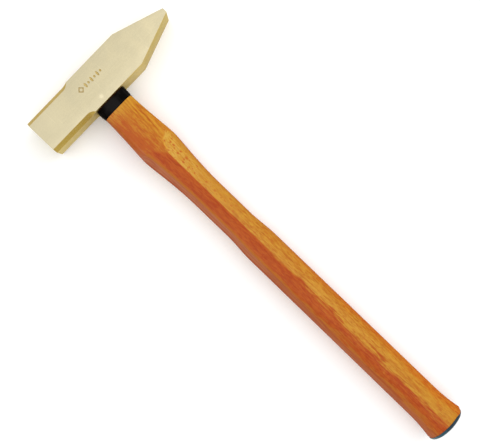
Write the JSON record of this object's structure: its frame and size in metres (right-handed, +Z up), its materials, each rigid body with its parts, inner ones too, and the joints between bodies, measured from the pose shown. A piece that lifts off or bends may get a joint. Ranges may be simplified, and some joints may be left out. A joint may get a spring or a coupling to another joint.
{
  "type": "cross pein engineer's hammer",
  "caption": "Cross pein hammer with a square-poll bronze head with corner chamfers, a black neck collar and a bevelled, waisted wooden handle with a flared, sealed butt.",
  "frame": {"origin": "on the lower cheek of the head, straight under the middle of the eye; the hammer lies on its side on z = 0", "axes": "+X along the handle from the head to the butt, +Y from the striking face to the pein, +Z up from the lower cheek to the upper cheek"},
  "size_m": [0.3501, 0.118, 0.0275],
  "materials": {
    "bronze": "pale aluminium bronze, cast, linished and lightly polished",
    "lacquered_wood": "hardwood with an orange stain and a clear satin lacquer",
    "wedge_wood": "bare sawn hardwood",
    "ring_steel": "plain turned steel",
    "collar_black": "smooth black rubber with a soft sheen",
    "seal_blue": "dipped blue-black end seal, semi-gloss"
  },
  "bodies": {
    "root": {"head": "bronze", "handle": "lacquered_wood", "kerf_wedge": "wedge_wood", "ring_wedge": "ring_steel", "neck_collar": "collar_black", "butt_seal": "seal_blue"}
  },
  "joints": []
}
